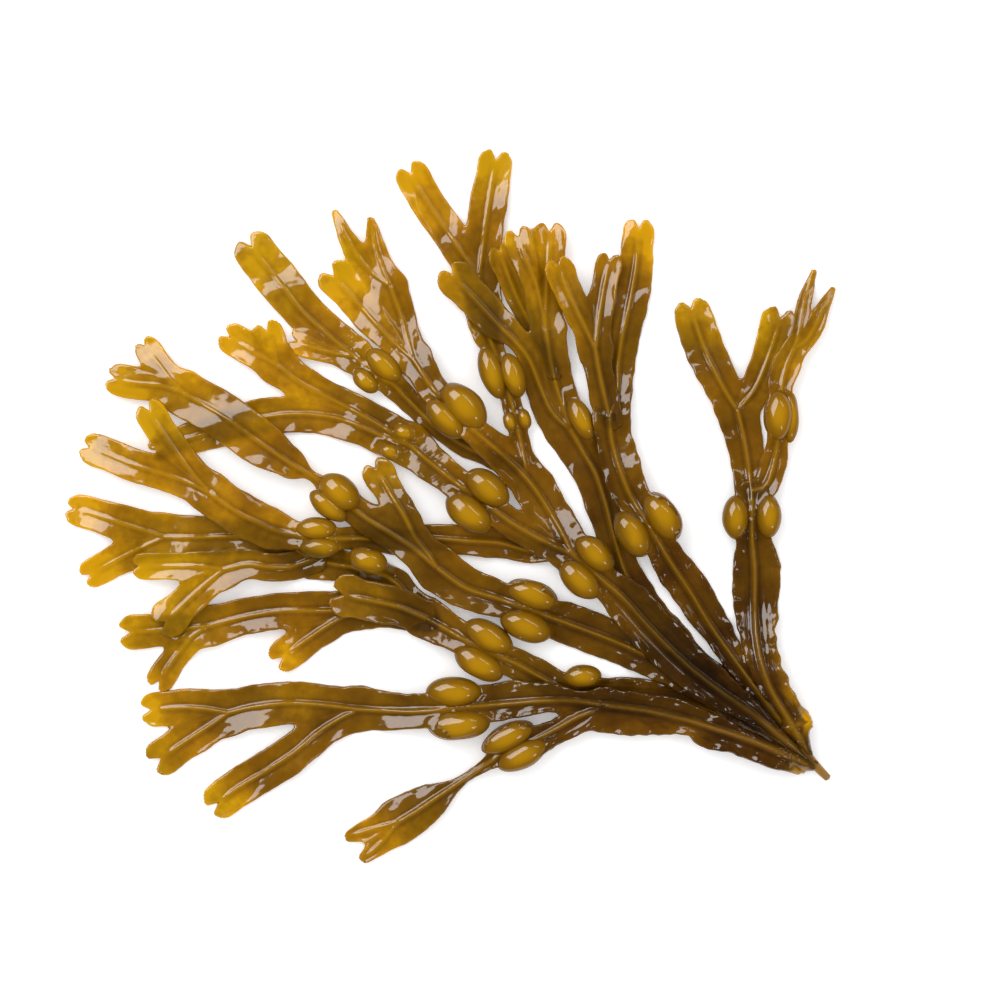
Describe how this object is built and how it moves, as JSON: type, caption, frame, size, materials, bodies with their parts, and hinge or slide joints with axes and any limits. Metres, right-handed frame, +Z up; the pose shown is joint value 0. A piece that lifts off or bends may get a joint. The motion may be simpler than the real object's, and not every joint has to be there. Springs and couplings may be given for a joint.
{
  "type": "bladder wrack frond",
  "caption": "Cut frond of a brown seaweed lying flat: a flat blade that forks again and again from one stem end, with a midrib, paired air bladders and notched tips.",
  "frame": {"origin": "on the surface that the frond lies on, under the middle of its outline", "axes": "+Z up from the surface, +X towards the cut stem end along the frond's longest side, +Y across it"},
  "size_m": [0.2313, 0.2146, 0.0105],
  "materials": {
    "stipe_skin": "tan brown, damp and smooth",
    "frond_skin": "golden olive with a wet gloss, dark brown near the stem end and brighter towards the tips"
  },
  "bodies": {
    "root": {"stipe": "stipe_skin", "stem_a": "frond_skin", "blade_a1": "frond_skin", "blade_a2": "frond_skin", "blade_a3": "frond_skin", "blade_a4": "frond_skin", "stem_b": "frond_skin", "blade_b1": "frond_skin", "blade_b2": "frond_skin", "blade_b3": "frond_skin", "blade_b4": "frond_skin", "blade_b5": "frond_skin", "blade_b6": "frond_skin", "stem_c": "frond_skin", "blade_c1": "frond_skin", "blade_c2": "frond_skin", "blade_c3": "frond_skin", "stem_d": "frond_skin", "blade_d1": "frond_skin", "blade_d2": "frond_skin", "blade_d3": "frond_skin", "blade_d4": "frond_skin", "blade_d5": "frond_skin", "blade_e1": "frond_skin", "blade_e2": "frond_skin", "blade_e3": "frond_skin", "blade_e4": "frond_skin", "blade_e5": "frond_skin", "blade_e6": "frond_skin", "blade_e7": "frond_skin", "blade_e8": "frond_skin", "stem_r": "frond_skin", "blade_r1": "frond_skin", "blade_r2": "frond_skin", "blade_r3": "frond_skin", "blade_r4": "frond_skin", "stem_s": "frond_skin", "blade_s1": "frond_skin", "blade_s2": "frond_skin", "stem_t": "frond_skin", "blade_t1": "frond_skin", "blade_t2": "frond_skin", "blade_t3": "frond_skin", "blade_t4": "frond_skin"}
  },
  "joints": []
}
